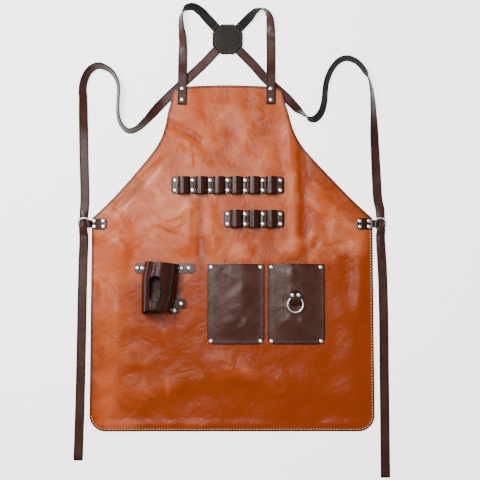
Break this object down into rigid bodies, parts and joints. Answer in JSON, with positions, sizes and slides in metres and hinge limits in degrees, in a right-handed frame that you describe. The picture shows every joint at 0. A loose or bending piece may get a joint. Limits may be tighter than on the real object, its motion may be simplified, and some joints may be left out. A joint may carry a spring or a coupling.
{
  "type": "faux leather work apron",
  "caption": "Bib apron of faux leather, lying front up: straps crossed through an octagonal patch, side rings, hammer holster, tool loops and riveted pockets.",
  "frame": {"origin": "on the surface that the apron lies on, under the middle of its bounding box", "axes": "+Y towards the neck, +X to the right of someone looking at the front, +Z out of the front face"},
  "size_m": [0.6646, 1.0148, 0.0496],
  "materials": {
    "panel_leather": "smooth orange-brown coated leather with a mottled pull-up gloss",
    "dark_leather": "dark brown coated leather with a satin sheen",
    "strap_leather": "brown-grey coated front, black back",
    "patch_leather": "dark olive-black, satin",
    "nickel": "polished nickel plate"
  },
  "bodies": {
    "root": {"apron_panel": "panel_leather", "tool_strip_upper": "dark_leather", "tool_strip_lower": "dark_leather", "pocket_left": "dark_leather", "pocket_right": "dark_leather", "pocket_ring_keeper": "dark_leather", "holster": "dark_leather", "waist_tab_left": "dark_leather", "waist_tab_right": "dark_leather", "pocket_ring": "nickel", "waist_ring_left": "nickel", "waist_ring_right": "nickel", "crossback_patch_back": "patch_leather", "crossback_patch_front": "patch_leather", "shoulder_strap_left": "strap_leather", "shoulder_strap_right": "strap_leather", "waist_strap_left": "strap_leather", "waist_strap_right": "strap_leather", "rivet_left_shoulder_upper": "nickel", "rivet_left_shoulder_lower": "nickel", "rivet_right_shoulder_upper": "nickel", "rivet_right_shoulder_lower": "nickel", "rivet_left_pocket_lower_left": "nickel", "rivet_left_pocket_upper_left": "nickel", "rivet_left_pocket_lower_right": "nickel", "rivet_left_pocket_upper_right": "nickel", "rivet_right_pocket_lower_left": "nickel", "rivet_right_pocket_upper_left": "nickel", "rivet_right_pocket_lower_right": "nickel", "rivet_right_pocket_upper_right": "nickel", "rivet_left_tab_outer_lower": "nickel", "rivet_left_tab_outer_upper": "nickel", "rivet_left_tab_inner_lower": "nickel", "rivet_left_tab_inner_upper": "nickel", "rivet_right_tab_outer_lower": "nickel", "rivet_right_tab_outer_upper": "nickel", "rivet_right_tab_inner_lower": "nickel", "rivet_right_tab_inner_upper": "nickel", "rivet_holster_left_outer": "nickel", "rivet_holster_left_inner": "nickel", "rivet_holster_right_inner": "nickel", "rivet_holster_right_outer": "nickel", "rivet_holster_lower_tab": "nickel", "rivet_holster_foot": "nickel", "rivet_keeper_left": "nickel", "rivet_keeper_right": "nickel"}
  },
  "joints": []
}
